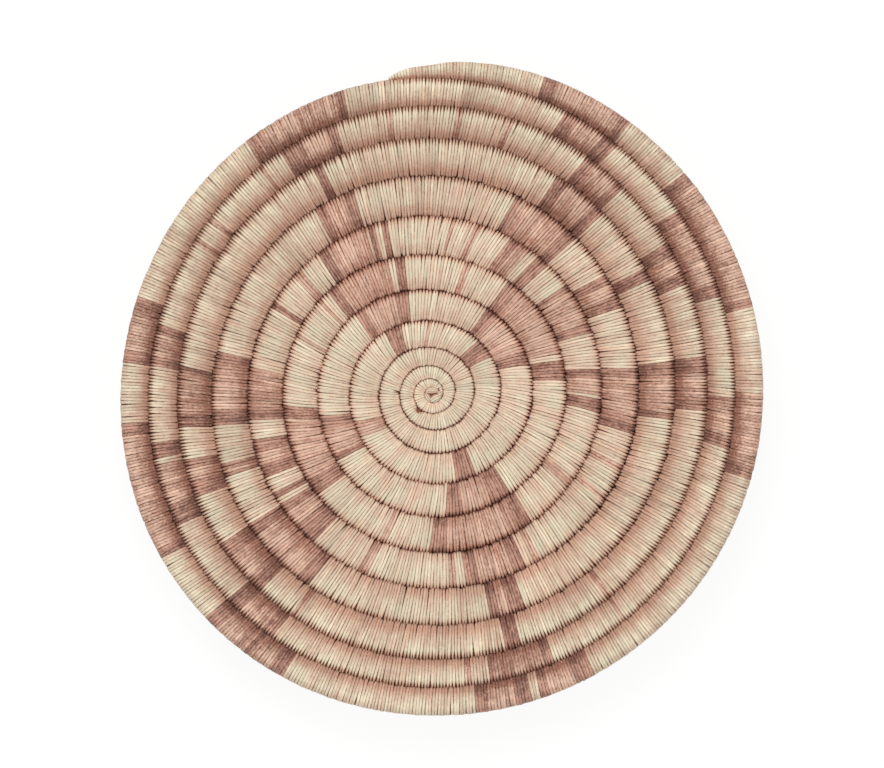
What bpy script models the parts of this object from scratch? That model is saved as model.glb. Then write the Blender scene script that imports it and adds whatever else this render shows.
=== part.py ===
"""Coiled basketry plaque, a shallow round tray of one spiral coil.

A bundle of grass runs in one unbroken spiral from a small knot at the centre
to a tapered end at the rim. Yucca splints are sewn round the bundle, in
natural and in dyed runs, and hold each turn to the one before it. The tray
lies flat on its middle, hollow side up: the origin is under the centre knot,
+Z is up, and the coil grows counter-clockwise from +X as seen from above.

A place on the spiral is given in turns: 4.25 is a quarter of the way round
row 4. Row 0 is the little curl that closes round the knot.
"""

import math
from typing import NamedTuple

import bpy

MM = 0.001

# Knot, and the coil where it is full: its pitch, measured along the dish, and its height
KNOT_RADIUS = 2.4 * MM
FULL_PITCH = 17.4 * MM
COIL_HEIGHT = 12.1 * MM

# How far the coil moves outwards in a turn, at each of these turns
PITCHES = (
    (0.0, 2.8 * MM),
    (1.0, 4.4 * MM),
    (2.0, 7.1 * MM),
    (3.0, 9.8 * MM),
    (4.0, 14.0 * MM),
    (5.0, 15.0 * MM),
    (6.0, 16.5 * MM),
    (7.0, 17.4 * MM),
    (8.0, 18.4 * MM),
    (9.0, 18.7 * MM),
    (10.0, 15.6 * MM),
    (11.0, 13.6 * MM),
    (12.5, 13.9 * MM),
)

# Turns of the coil where its pieces start and end
SEWING_STARTS = 1.0
BUNDLE_ENDS = 11.2
COIL_ENDS = 11.272

# Dish: flat in the middle, bent up round it, straight to the rim
FLAT_RADIUS = 80.0 * MM
BEND_RADIUS = 72.0 * MM
RIM_SLOPE = math.radians(30.0)

# Unevenness of the hand-laid coil: how often it swells in a turn, how far, where, at which
# turn it is strongest, and how many turns it reaches from there
SWELLS = (
    (1, 0.8 * MM, math.radians(-168.0), 1.6, 1.0),
    (1, 0.8 * MM, math.radians(-96.0), 5.5, 2.2),
    (2, 0.8 * MM, math.radians(-11.0), 5.5, 2.2),
    (3, 0.5 * MM, math.radians(21.0), 5.5, 2.2),
    (1, 1.6 * MM, math.radians(39.0), 11.5, 4.0),
    (2, 1.3 * MM, math.radians(80.0), 11.5, 4.0),
    (3, 0.8 * MM, math.radians(-23.0), 11.5, 4.0),
)

# Sewing
WRAP_THICKNESS = 0.9 * MM
BUNDLE_CLEARANCE = 0.3 * MM
ROW_GAP = 0.45 * MM
RUN_GAP = 0.3 * MM

# Outline of the coil cut across, in shares of its half width and half height: a flat
# underside to rest on, widest at mid height, and a round top
REST_SHARE = 0.55
TOP_SHARE = 0.95
SECTION_SHARES = (
    (REST_SHARE, -1.00),
    (-REST_SHARE, -1.00),
    (-1.00, 0.00),
    (-0.82, 0.56),
    (-0.33, TOP_SHARE),
    (0.33, TOP_SHARE),
    (0.82, 0.56),
    (1.00, 0.00),
)

# Coil end: how much of the coil's width is left at each of these turns
END_SHARES = (
    (11.10, 1.00),
    (11.17, 0.88),
    (11.20, 0.80),
    (11.22, 0.70),
    (11.24, 0.60),
    (11.25, 0.46),
    (11.262, 0.40),
    (COIL_ENDS, 0.16),
)

# Points in one turn of the coil, inside and outside COARSE_TURNS
COARSE_TURNS = 2.0
COARSE_POINTS = 12
FINE_POINTS = 24

# Runs meet at least this share of a step away from its corners
SEAM_SHARE = 0.25
# Two places closer than this, in turns, are one place
SAME_PLACE = 1e-6

FULL_HALF_WIDTH = (FULL_PITCH - ROW_GAP) / 2.0
FULL_HALF_HEIGHT = COIL_HEIGHT / 2.0

# Runs of sewing: the row and the angle in degrees where each starts, and its splints
NATURAL = "natural"
DYED = "dyed"
SEWN_RUNS = (
    (1, 0, NATURAL),
    (3, 0, NATURAL),
    (4, 18, DYED), (4, 57, NATURAL), (4, 105, DYED), (4, 136, NATURAL),
    (4, 277, DYED), (4, 308, NATURAL),
    (5, 6, DYED), (5, 55, NATURAL), (5, 102, DYED), (5, 137, NATURAL),
    (5, 186, DYED), (5, 222, NATURAL), (5, 269, DYED), (5, 309, NATURAL),
    (6, 21, DYED), (6, 64, NATURAL), (6, 105, DYED), (6, 130, NATURAL),
    (6, 172, DYED), (6, 231, NATURAL),
    (7, 48, DYED), (7, 67, NATURAL), (7, 169, DYED), (7, 237, NATURAL), (7, 353, DYED),
    (8, 8, NATURAL), (8, 60, NATURAL), (8, 116, NATURAL), (8, 174, DYED),
    (8, 229, NATURAL), (8, 287, NATURAL), (8, 356, DYED),
    (9, 23, DYED), (9, 57, NATURAL), (9, 110, DYED), (9, 122, NATURAL), (9, 190, DYED),
    (9, 237, NATURAL), (9, 295, NATURAL), (9, 350, DYED),
    (10, 0, NATURAL), (10, 19, DYED), (10, 65, NATURAL), (10, 106, DYED),
    (10, 127, NATURAL), (10, 186, DYED), (10, 243, NATURAL), (10, 278, DYED),
    (10, 300, NATURAL), (10, 345, DYED),
    (11, 0, NATURAL), (11, 15, DYED),
)


class Station(NamedTuple):
    """One point of the coil's middle line, with the size and lean of the coil there."""

    x: float
    y: float
    z: float
    scale: float
    lean: float


def clear_scene():
    """Remove every object, so that the script starts from an empty scene."""
    for item in list(bpy.data.objects):
        bpy.data.objects.remove(item, do_unlink=True)


def rows_before(turn):
    """Width along the dish of all the rows from the knot out to this turn."""
    width = 0.0
    for (start, first), (end, last) in zip(PITCHES, PITCHES[1:]):
        share = min(max((turn - start) / (end - start), 0.0), 1.0)
        width += (end - start) * share * (first + (last - first) * share / 2.0)
    return width


def furrow(turn):
    """Distance along the dish from the centre to the inner edge of the coil at this turn."""
    angle = math.tau * turn
    swell = sum(
        size * math.cos(count * (angle - place)) * math.exp(-(((turn - middle) / reach) ** 2))
        for count, size, place, middle, reach in SWELLS
    )
    return KNOT_RADIUS + rows_before(turn) + swell


def kept_share(turn):
    """The share of its width that the coil keeps at this turn, less than 1 near its end."""
    for (start, first), (end, last) in zip(END_SHARES, END_SHARES[1:]):
        if turn < end:
            share = max((turn - start) / (end - start), 0.0)
            return first + (last - first) * share
    return END_SHARES[-1][1]


def dish(distance):
    """Radius, height and slope of the dish at a distance along it from the centre."""
    if distance <= FLAT_RADIUS:
        return distance, 0.0, 0.0
    slope = (distance - FLAT_RADIUS) / BEND_RADIUS
    if slope <= RIM_SLOPE:
        radius = FLAT_RADIUS + BEND_RADIUS * math.sin(slope)
        return radius, BEND_RADIUS * (1.0 - math.cos(slope)), slope
    straight = distance - FLAT_RADIUS - BEND_RADIUS * RIM_SLOPE
    radius = FLAT_RADIUS + BEND_RADIUS * math.sin(RIM_SLOPE) + straight * math.cos(RIM_SLOPE)
    height = BEND_RADIUS * (1.0 - math.cos(RIM_SLOPE)) + straight * math.sin(RIM_SLOPE)
    return radius, height, RIM_SLOPE


def station_at(turn, kept=1.0):
    """The coil's middle line at one turn, where it keeps this share of its width."""
    inner = furrow(turn) + ROW_GAP / 2.0
    half_width = (furrow(turn + 1.0) - furrow(turn) - ROW_GAP) / 2.0
    half_height = half_width * FULL_HALF_HEIGHT / FULL_HALF_WIDTH
    radius, height, slope = dish(inner + half_width * kept)
    lift = half_height * math.cos(slope) + REST_SHARE * half_width * math.sin(slope)
    scale = half_width * kept / FULL_HALF_WIDTH
    angle = math.tau * turn
    return Station(radius * math.cos(angle), radius * math.sin(angle), height + lift, scale, slope)


def points_per_turn(turn):
    """How many straight steps make a turn of the coil at this place."""
    return COARSE_POINTS if turn < COARSE_TURNS else FINE_POINTS


def station_on_chord(turn):
    """The coil's middle line on the straight steps that all its pieces follow."""
    kept = kept_share(turn)
    count = points_per_turn(turn)
    before = math.floor(turn * count + SAME_PLACE) / count
    share = (turn - before) * count
    first = station_at(before, kept)
    if share < SAME_PLACE:
        return first
    second = station_at(before + 1.0 / count, kept)
    return Station(*(a + (b - a) * share for a, b in zip(first, second)))


def turns_between(start, end):
    """The turns of the points of a run: both ends, and each step of the coil between them."""
    coarse = range(math.ceil(COARSE_TURNS * COARSE_POINTS))
    fine = range(math.ceil(COARSE_TURNS * FINE_POINTS), math.ceil(COIL_ENDS * FINE_POINTS))
    corners = [number / COARSE_POINTS for number in coarse]
    corners += [number / FINE_POINTS for number in fine]
    between = [turn for turn in corners if start + SAME_PLACE < turn < end - SAME_PLACE]
    return [start, *between, end]


def seam(turn):
    """Where two runs meet near this turn, kept off the corners of the straight steps."""
    count = points_per_turn(turn)
    step = math.floor(turn * count + SAME_PLACE)
    share = min(max(turn * count - step, SEAM_SHARE), 1.0 - SEAM_SHARE)
    return (step + share) / count


def gap_in_turns(turn, gap):
    """A gap along the coil, as a share of the turn that it lies on."""
    place = station_at(turn)
    return gap / (math.tau * math.hypot(place.x, place.y))


def make_material(name, colour, roughness):
    """A plain material with the fibre's colour and roughness."""
    material = bpy.data.materials.new(name)
    material.use_nodes = True
    shader = material.node_tree.nodes["Principled BSDF"]
    shader.inputs["Base Color"].default_value = (*colour, 1.0)
    shader.inputs["Roughness"].default_value = roughness
    shader.inputs["Metallic"].default_value = 0.0
    material.diffuse_color = (*colour, 1.0)
    return material


def make_section(collection):
    """The closed outline of the full-size coil, which the tubes are drawn along."""
    data = bpy.data.curves.new("coil_section", "CURVE")
    data.dimensions = "2D"
    data.fill_mode = "NONE"
    spline = data.splines.new("POLY")
    spline.points.add(len(SECTION_SHARES) - 1)
    for point, (across, up) in zip(spline.points, SECTION_SHARES):
        point.co = (across * FULL_HALF_WIDTH, up * FULL_HALF_HEIGHT, 0.0, 1.0)
    spline.use_cyclic_u = True
    section = bpy.data.objects.new("coil_section", data)
    section.hide_render = True
    section.display_type = "WIRE"
    collection.objects.link(section)
    return section


def make_tube(name, stations, section, collection, material, capped):
    """A tube along the stations, its section scaled and leaned at each of them."""
    data = bpy.data.curves.new(name, "CURVE")
    data.dimensions = "3D"
    data.twist_mode = "Z_UP"
    data.resolution_u = 1
    data.render_resolution_u = 0
    data.bevel_mode = "OBJECT"
    data.bevel_object = section
    data.use_fill_caps = capped
    spline = data.splines.new("POLY")
    spline.points.add(len(stations) - 1)
    for point, place in zip(spline.points, stations):
        point.co = (place.x, place.y, place.z, 1.0)
        point.radius = place.scale
        point.tilt = -place.lean
    spline.use_smooth = True
    tube = bpy.data.objects.new(name, data)
    data.materials.append(material)
    collection.objects.link(tube)
    return tube


def make_start_knot(collection, material):
    """The knot of splints at the centre, a snail shape that the first curl closes round."""
    data = bpy.data.curves.new("start_knot", "CURVE")
    data.dimensions = "2D"
    data.fill_mode = "BOTH"
    first = station_at(0.0)
    half_thickness = FULL_HALF_HEIGHT * first.scale
    data.extrude = half_thickness
    spline = data.splines.new("POLY")
    spline.points.add(COARSE_POINTS - 1)
    for number, point in enumerate(spline.points):
        turn = number / COARSE_POINTS
        radius = furrow(turn) - ROW_GAP / 2.0
        angle = math.tau * turn
        point.co = (radius * math.cos(angle), radius * math.sin(angle), 0.0, 1.0)
    spline.use_cyclic_u = True
    knot = bpy.data.objects.new("start_knot", data)
    knot.location.z = half_thickness
    data.materials.append(material)
    collection.objects.link(knot)
    return knot


def make_start_curl(section, collection, material):
    """The first curl, wound round the knot from a blunt end to where the sewing starts."""
    start = gap_in_turns(0.0, RUN_GAP)
    end = seam(SEWING_STARTS) - gap_in_turns(SEWING_STARTS, RUN_GAP / 2.0)
    turns = turns_between(start, end)
    stations = [station_on_chord(turn) for turn in turns]
    return make_tube("start_curl", stations, section, collection, material, capped=True)


def make_bundle(section, collection, material):
    """The grass bundle, one unbroken tube that fits loosely in all the sewing."""
    shrink = (WRAP_THICKNESS + BUNDLE_CLEARANCE) / (TOP_SHARE * FULL_HALF_HEIGHT)
    turns = turns_between(
        seam(SEWING_STARTS) + gap_in_turns(SEWING_STARTS, RUN_GAP),
        BUNDLE_ENDS - gap_in_turns(BUNDLE_ENDS, RUN_GAP),
    )
    stations = [station_on_chord(turn) for turn in turns]
    stations = [place._replace(scale=place.scale - shrink) for place in stations]
    report_least_gap(turns, shrink)
    return make_tube("grass_bundle", stations, section, collection, material, capped=True)


def report_least_gap(turns, shrink):
    """Print the least gap of the grass bundle to its own next turn."""
    least = math.inf
    for turn in turns:
        if turn + 1.0 > BUNDLE_ENDS:
            break
        here = station_at(turn)
        beyond = station_at(turn + 1.0)
        apart = math.dist(here[:3], beyond[:3])
        widths = (here.scale + beyond.scale - 2.0 * shrink) * FULL_HALF_WIDTH
        least = min(least, apart - widths)
    print(f"least gap of the grass bundle to itself: {least / MM:.2f} mm")


def make_wrap(name, start, end, section, collection, material):
    """One run of sewing, an open sleeve of splints round the bundle."""
    turns = turns_between(
        start + gap_in_turns(start, RUN_GAP / 2.0),
        end - gap_in_turns(end, RUN_GAP / 2.0),
    )
    stations = [station_on_chord(turn) for turn in turns]
    wrap = make_tube(name, stations, section, collection, material, capped=False)
    wall = wrap.modifiers.new("splint thickness", "SOLIDIFY")
    wall.thickness = WRAP_THICKNESS
    wall.offset = -1.0
    wall.use_even_offset = True
    return wrap


def make_rim_end(section, collection, material):
    """The tapered end of the coil, bound down on the row inside it."""
    start = BUNDLE_ENDS + gap_in_turns(BUNDLE_ENDS, RUN_GAP / 2.0)
    turns = {*turns_between(start, COIL_ENDS), *(turn for turn, _ in END_SHARES if turn > start)}
    stations = [station_on_chord(turn) for turn in sorted(turns)]
    return make_tube("rim_end_binding", stations, section, collection, material, capped=True)


def run_names(starts):
    """A name for each run, from its row, its splints and a letter that counts them."""
    names = []
    seen = {}
    for start, (_, _, splints) in zip(starts, SEWN_RUNS):
        row = math.floor(start)
        key = (row, splints)
        seen[key] = seen.get(key, 0) + 1
        names.append(f"row_{row:02d}_{splints}_splints_{chr(ord('a') + seen[key] - 1)}")
    return names


def build_plaque():
    """Make every piece of the plaque."""
    clear_scene()
    parts = bpy.data.collections.new("coiled_plaque")
    guides = bpy.data.collections.new("guides")
    bpy.context.scene.collection.children.link(parts)
    bpy.context.scene.collection.children.link(guides)

    natural = make_material("natural yucca splint", (0.62, 0.49, 0.32), 0.6)
    dyed = make_material("dyed yucca splint", (0.30, 0.15, 0.12), 0.65)
    grass = make_material("grass bundle", (0.36, 0.27, 0.13), 0.85)

    section = make_section(guides)
    make_start_knot(parts, natural)
    make_start_curl(section, parts, natural)
    make_bundle(section, parts, grass)

    starts = [seam(row + degrees / 360.0) for row, degrees, _ in SEWN_RUNS]
    ends = starts[1:] + [BUNDLE_ENDS]
    for name, start, end, (_, _, splints) in zip(run_names(starts), starts, ends, SEWN_RUNS):
        material = dyed if splints == DYED else natural
        make_wrap(name, start, end, section, parts, material)
    make_rim_end(section, parts, natural)


build_plaque()
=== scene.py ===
"""Looks of a shallow round tray of coiled basketry.

One bundle of grass runs in a spiral from a small knot at the centre to a
tapered end at the rim. Some 3,400 stitches of split yucca leaf are sewn over
it, in cream and in two dyed browns. Each stitch is modelled as one strip of
leaf, bent over the coil, with its foot in the row inside it.

A place on the coil is given in turns, as in the part's source: 4.25 is a
quarter of the way round row 4. A Table gives the value at some places, mostly
turns of the coil, and the values between them lie on straight lines.
"""

from __future__ import annotations

import logging
import math
from collections.abc import Sequence
from dataclasses import dataclass, field
from enum import Enum
from typing import NamedTuple

import bpy
import numpy as np
from mathutils import Matrix

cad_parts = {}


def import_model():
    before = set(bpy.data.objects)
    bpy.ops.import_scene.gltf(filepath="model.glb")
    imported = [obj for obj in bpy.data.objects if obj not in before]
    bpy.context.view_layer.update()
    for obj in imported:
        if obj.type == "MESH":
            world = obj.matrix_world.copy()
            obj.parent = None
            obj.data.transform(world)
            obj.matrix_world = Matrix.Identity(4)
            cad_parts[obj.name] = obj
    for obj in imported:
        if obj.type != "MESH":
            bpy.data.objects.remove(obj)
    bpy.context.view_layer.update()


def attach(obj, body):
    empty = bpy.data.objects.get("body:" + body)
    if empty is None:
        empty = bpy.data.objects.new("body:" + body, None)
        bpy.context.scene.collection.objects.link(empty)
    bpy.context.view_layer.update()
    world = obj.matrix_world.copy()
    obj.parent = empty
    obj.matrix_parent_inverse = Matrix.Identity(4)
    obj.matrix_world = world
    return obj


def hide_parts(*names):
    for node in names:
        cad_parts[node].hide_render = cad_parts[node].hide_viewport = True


MM = 0.001
BODY = "root"
# Keeps a turn that falls on a corner of the solids' course on the side that it belongs to
NUDGE = 1e-6
# The sockets of a Mix node that mixes two colours: by how much, from which, to which, result
MIX_BY, MIX_FROM, MIX_TO, MIXED = 0, 6, 7, 2

Table = tuple[tuple[float, float], ...]
Numbers = float | np.ndarray

log = logging.getLogger("coiled_tray")


class Splint(Enum):
    """How a strip of yucca leaf was treated before it was sewn."""

    NATURAL = "natural"
    BROWN = "brown"
    DARK = "dark"


class Run(Enum):
    """What a run of sewing is mostly made of, as the solids tell runs apart."""

    NATURAL = "natural"
    DYED = "dyed"


class Place(NamedTuple):
    """One point of the coil's middle line, with the size and lean of the coil there."""

    x: float
    y: float
    z: float
    scale: float
    lean: float


class Opening(NamedTuple):
    """A place where the sewing gapes: the turn, how far it reaches, how far the feet fall short."""

    turn: float
    reach: float
    short: float


class Swell(NamedTuple):
    """Unevenness of the coil: how often in a turn, how far, where, and in which turns."""

    count: int
    size: float
    degrees: float
    middle: float
    reach: float


class Lobe(NamedTuple):
    """One fat turn of splints in the knot: its middle, heading in degrees, size and bend."""

    x: float
    y: float
    heading: float
    length: float
    width: float
    height: float
    bend: float


class Block(NamedTuple):
    """A brown patch of the pattern in one row, with a dark edge at either end, in degrees."""

    start: float
    end: float
    first_edge: float = 0.0
    last_edge: float = 0.0


class Grain(NamedTuple):
    """Markings of the leaf: how often they repeat along and across a strip, and how fine."""

    along: float
    across: float
    detail: float
    roughness: float


# The pattern of each row. Its places were read from the photograph's brightness at each
# degree along the row, printed by another program, and from unrolled views
PATTERN: dict[int, tuple[Block, ...]] = {
    3: (
        Block(33, 51, 18), Block(92, 97), Block(118, 131, 13), Block(202, 213),
        Block(286.5, 299, 12.5),
    ),
    4: (
        Block(18, 57, 7, 7.5), Block(105, 136, 7, 5.5), Block(193, 217, 7, 4),
        Block(277, 308, 7.5, 8.5),
    ),
    5: (
        Block(6.5, 14.5, 8), Block(18, 55.5, 0, 5.5), Block(74, 76.5), Block(102, 106.3, 4.3),
        Block(110, 137.5, 0, 5), Block(140.5, 142.5), Block(156.5, 158.5),
        Block(186.5, 222, 4, 6.5), Block(250.5, 254), Block(269.5, 308.8, 5.5, 5.3),
        Block(326, 329), Block(354.2, 358.3, 4.1),
    ),
    6: (
        Block(0, 9, 0, 3), Block(21.5, 40, 3.5, 2.5), Block(48.5, 53, 4.5),
        Block(56, 64.5, 0, 3.5), Block(74.5, 77), Block(83, 85), Block(105, 107.5, 2.5),
        Block(109.5, 130, 2.5, 3), Block(138, 140.8), Block(150.5, 152, 1.5),
        Block(172.5, 189, 0, 3), Block(195, 207, 4.5, 3.5), Block(213, 214.3, 1.3),
        Block(216.5, 231.5, 3.5, 6.5), Block(248, 250.5), Block(275.3, 277.5),
        Block(280.5, 298.5, 3.3, 3.5), Block(301.5, 303), Block(328, 330), Block(338, 339.5),
        Block(348.5, 360, 3.5),
    ),
    7: (
        Block(0, 7.8, 0, 3.3), Block(24.5, 34.7, 4, 2.7), Block(47.8, 67.5, 3.6, 2),
        Block(112, 123, 2.3, 2.5), Block(169.2, 188.7, 2.8, 4.2), Block(199, 202.5, 1, 1),
        Block(215.8, 237.5, 3.8, 3.7), Block(284.5, 293.7, 2.3, 3.7), Block(353.3, 360, 1.7),
    ),
    8: (
        Block(0, 7.3, 0, 3.3), Block(28, 31, 3), Block(47, 60.3, 3, 2.8),
        Block(115.8, 118.5, 2.7), Block(174, 188.5, 2, 3.5), Block(195.3, 204.5, 2.7, 4),
        Block(215.7, 229, 3.8, 3.5), Block(238, 238.8), Block(286.5, 290, 3.5), Block(310.5, 312),
        Block(356.5, 360, 2),
    ),
    9: (
        Block(0, 7.8, 0, 3.3), Block(23.5, 32.9, 2.2, 2.6), Block(47, 57, 2.6, 2.5),
        Block(73.5, 74.7), Block(84, 85), Block(98.5, 99.8), Block(110, 122.2, 2.3, 4.2),
        Block(127, 127.8), Block(141.5, 142.5), Block(146.8, 147.8), Block(166, 174.8, 2, 2.1),
        Block(190, 193.3, 3.3), Block(195, 207.7, 0, 4.7), Block(225.2, 237, 3.3, 2.5),
        Block(276.5, 277.8), Block(281.5, 294.7, 1.5, 2.2), Block(310, 311),
        Block(349.8, 359, 2.2),
    ),
    10: (
        Block(19, 37, 2, 2.5), Block(53.8, 64.8, 2.7, 2.8), Block(106.5, 126.6, 2.1, 3.6),
        Block(162, 174.5, 2.7, 2.5), Block(185.6, 211.5, 2.4, 1.5), Block(225, 234, 3),
        Block(234, 242.5, 1.5, 3), Block(278, 288.5, 2, 3), Block(290, 300.3, 1.7, 3.3),
        Block(344.8, 360, 2.5),
    ),
    11: (Block(15, 41.3, 2, 2.3), Block(54, 70.3, 1.5, 2.8)),
}

# The sewn runs that the solids hold in each row: where each starts, in degrees, and its kind
NATURAL, DYED = Run.NATURAL, Run.DYED
SEWN_RUNS: dict[int, tuple[tuple[float, Run], ...]] = {
    1: ((0, NATURAL),),
    3: ((0, NATURAL),),
    4: ((18, DYED), (57, NATURAL), (105, DYED), (136, NATURAL), (277, DYED), (308, NATURAL)),
    5: (
        (6, DYED), (55, NATURAL), (102, DYED), (137, NATURAL), (186, DYED), (222, NATURAL),
        (269, DYED), (309, NATURAL),
    ),
    6: ((21, DYED), (64, NATURAL), (105, DYED), (130, NATURAL), (172, DYED), (231, NATURAL)),
    7: ((48, DYED), (67, NATURAL), (169, DYED), (237, NATURAL), (353, DYED)),
    8: (
        (8, NATURAL), (60, NATURAL), (116, NATURAL), (174, DYED), (229, NATURAL), (287, NATURAL),
        (356, DYED),
    ),
    9: (
        (23, DYED), (57, NATURAL), (110, DYED), (122, NATURAL), (190, DYED), (237, NATURAL),
        (295, NATURAL), (350, DYED),
    ),
    10: (
        (0, NATURAL), (19, DYED), (65, NATURAL), (106, DYED), (127, NATURAL), (186, DYED),
        (243, NATURAL), (278, DYED), (300, NATURAL), (345, DYED),
    ),
    11: ((0, NATURAL), (15, DYED)),
}


def linear(hex_colour: str) -> tuple[float, float, float, float]:
    """Turn a colour to the values that a shader takes.

    Args:
        hex_colour: The colour as sRGB hex.

    Returns:
        Its linear red, green, blue and alpha.
    """
    values = [int(hex_colour[i : i + 2], 16) / 255.0 for i in (1, 3, 5)]
    out = [v / 12.92 if v <= 0.04045 else ((v + 0.055) / 1.055) ** 2.4 for v in values]
    return (*out, 1.0)


def read(table: Table, turns: Numbers) -> Numbers:
    """The values of a table at these turns."""
    return np.interp(turns, *zip(*table))


def rise(values: Numbers, start: float, length: float) -> Numbers:
    """0 up to the start, 1 from a length past it, and a straight line between."""
    return np.clip((values - start) / length, 0.0, 1.0)


def select_only(*items: bpy.types.Object) -> None:
    """Select some objects and nothing else.

    Args:
        *items: The objects, of which the first one becomes active.
    """
    bpy.ops.object.select_all(action="DESELECT")
    for item in items:
        item.select_set(True)
    bpy.context.view_layer.objects.active = items[0]


def apply_modifiers(item: bpy.types.Object) -> None:
    """Apply the modifiers of an object.

    Args:
        item: The object, whose modifiers are applied in their order.
    """
    select_only(item)
    for modifier in list(item.modifiers):
        bpy.ops.object.modifier_apply(modifier=modifier.name)


def discard(item: bpy.types.Object) -> None:
    """Remove a helper object together with its data.

    Args:
        item: A mesh object or a curve object.
    """
    data = item.data
    bpy.data.objects.remove(item, do_unlink=True)
    store = bpy.data.meshes if isinstance(data, bpy.types.Mesh) else bpy.data.curves
    store.remove(data)


def repeat(item: bpy.types.Object, count: int, step: float, merged: float = 0.0) -> None:
    """Repeat a piece along +X.

    Args:
        item: The piece, which becomes the whole row.
        count: How many there are in the row.
        step: The distance from one to the next.
        merged: Ends of neighbours closer than this are joined; 0 joins none.
    """
    row = item.modifiers.new("row", "ARRAY")
    row.count = count
    row.use_relative_offset = False
    row.use_constant_offset = True
    row.constant_offset_displace = (step, 0.0, 0.0)
    row.use_merge_vertices = merged > 0.0
    row.merge_threshold = merged
    apply_modifiers(item)


def draw_line(name: str, points: Sequence[Sequence[float]], dimensions: str) -> bpy.types.Object:
    """Draw a line that a straight piece can be bent along.

    Args:
        name: The name of the line.
        points: The corners of the line.
        dimensions: 2D or 3D.

    Returns:
        The line as a curve object.
    """
    data = bpy.data.curves.new(name, "CURVE")
    data.dimensions = dimensions
    data.use_stretch = False
    data.use_deform_bounds = False
    spline = data.splines.new("POLY")
    spline.points.add(len(points) - 1)
    for corner, point in zip(spline.points, points):
        corner.co = (*point, 1.0)
    line = bpy.data.objects.new(name, data)
    bpy.context.scene.collection.objects.link(line)
    return line


def bend_along(item: bpy.types.Object, line: bpy.types.Object) -> None:
    """Bend a straight piece along a line.

    Args:
        item: The piece, laid along +X by its distance along the line.
        line: The line.
    """
    modifier = item.modifiers.new("bent along a line", "CURVE")
    modifier.object = line
    modifier.deform_axis = "POS_X"
    apply_modifiers(item)


def smooth(item: bpy.types.Object) -> None:
    """Shade a piece smooth."""
    select_only(item)
    bpy.ops.object.shade_smooth()


def add_values(mesh: bpy.types.Mesh, name: str, values: np.ndarray) -> None:
    """Give each vertex of a mesh a value that its finish reads by this name."""
    attribute = mesh.attributes.new(name, "FLOAT", "POINT")
    attribute.data.foreach_set("value", values.astype(np.float32))


def add_node(
    tree: bpy.types.NodeTree,
    kind: str,
    inputs: dict[int | str, object] | Sequence[object] = (),
    **settings: object,
) -> bpy.types.Node:
    """Add a shader node.

    Args:
        tree: The node tree of the material or world.
        kind: The node's type, without ShaderNode before it.
        inputs: For each input a value, a socket, or a node that gives its first output.
            Inputs go by name or number, or in their order: a map range takes a value,
            the two ends that it comes from and the two that it goes to.
        **settings: The node's own properties.

    Returns:
        The new node.
    """
    node = tree.nodes.new(f"ShaderNode{kind}")
    for name, value in settings.items():
        setattr(node, name, value)
    for name, value in inputs.items() if isinstance(inputs, dict) else enumerate(inputs):
        if isinstance(value, bpy.types.Node):
            value = value.outputs[0]
        if isinstance(value, bpy.types.NodeSocket):
            tree.links.new(value, node.inputs[name])
        else:
            node.inputs[name].default_value = value
    return node


def fill_ramp(node: bpy.types.Node, stops: Table) -> None:
    """Give a colour ramp its grey stops.

    Args:
        node: The colour ramp.
        stops: The value at each place of the ramp.
    """
    elements = node.color_ramp.elements
    while len(elements) < len(stops):
        elements.new(1.0)
    for element, (position, value) in zip(elements, stops):
        element.position = position
        element.color = (value, value, value, 1.0)


def new_material(name: str) -> tuple[bpy.types.Material, bpy.types.NodeTree, bpy.types.Node]:
    """Start a material.

    Args:
        name: The real material's name.

    Returns:
        The material, its node tree and its Principled shader.
    """
    made = bpy.data.materials.new(name)
    made.use_nodes = True
    return made, made.node_tree, made.node_tree.nodes["Principled BSDF"]


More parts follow.
